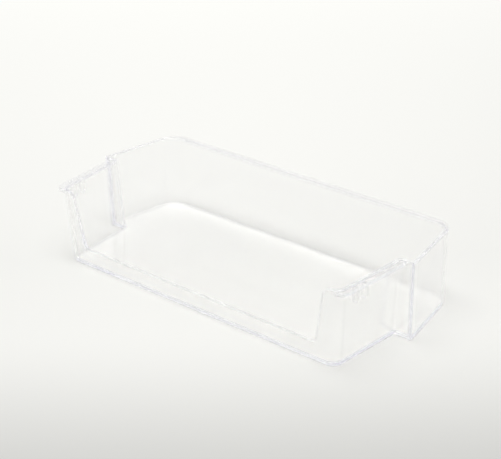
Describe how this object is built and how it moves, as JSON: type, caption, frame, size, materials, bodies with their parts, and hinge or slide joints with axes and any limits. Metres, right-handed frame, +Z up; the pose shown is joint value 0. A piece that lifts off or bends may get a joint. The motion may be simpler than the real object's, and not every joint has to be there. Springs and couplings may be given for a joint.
{
  "type": "refrigerator door bin",
  "caption": "Clear moulded refrigerator door bin with a wide front, a narrower rear, a low rear lip and rims that hang on the door's side rails.",
  "frame": {"origin": "Middle of the bin's box in plan, on the surface that the bin stands on.", "axes": "X along the width, +Y from the open rear, which faces the door, to the tall front wall, +Z up."},
  "size_m": [0.33, 0.148, 0.0675],
  "materials": {
    "clear_plastic": "clear, polished, injection moulded"
  },
  "bodies": {
    "root": {"door_bin": "clear_plastic"}
  },
  "joints": []
}
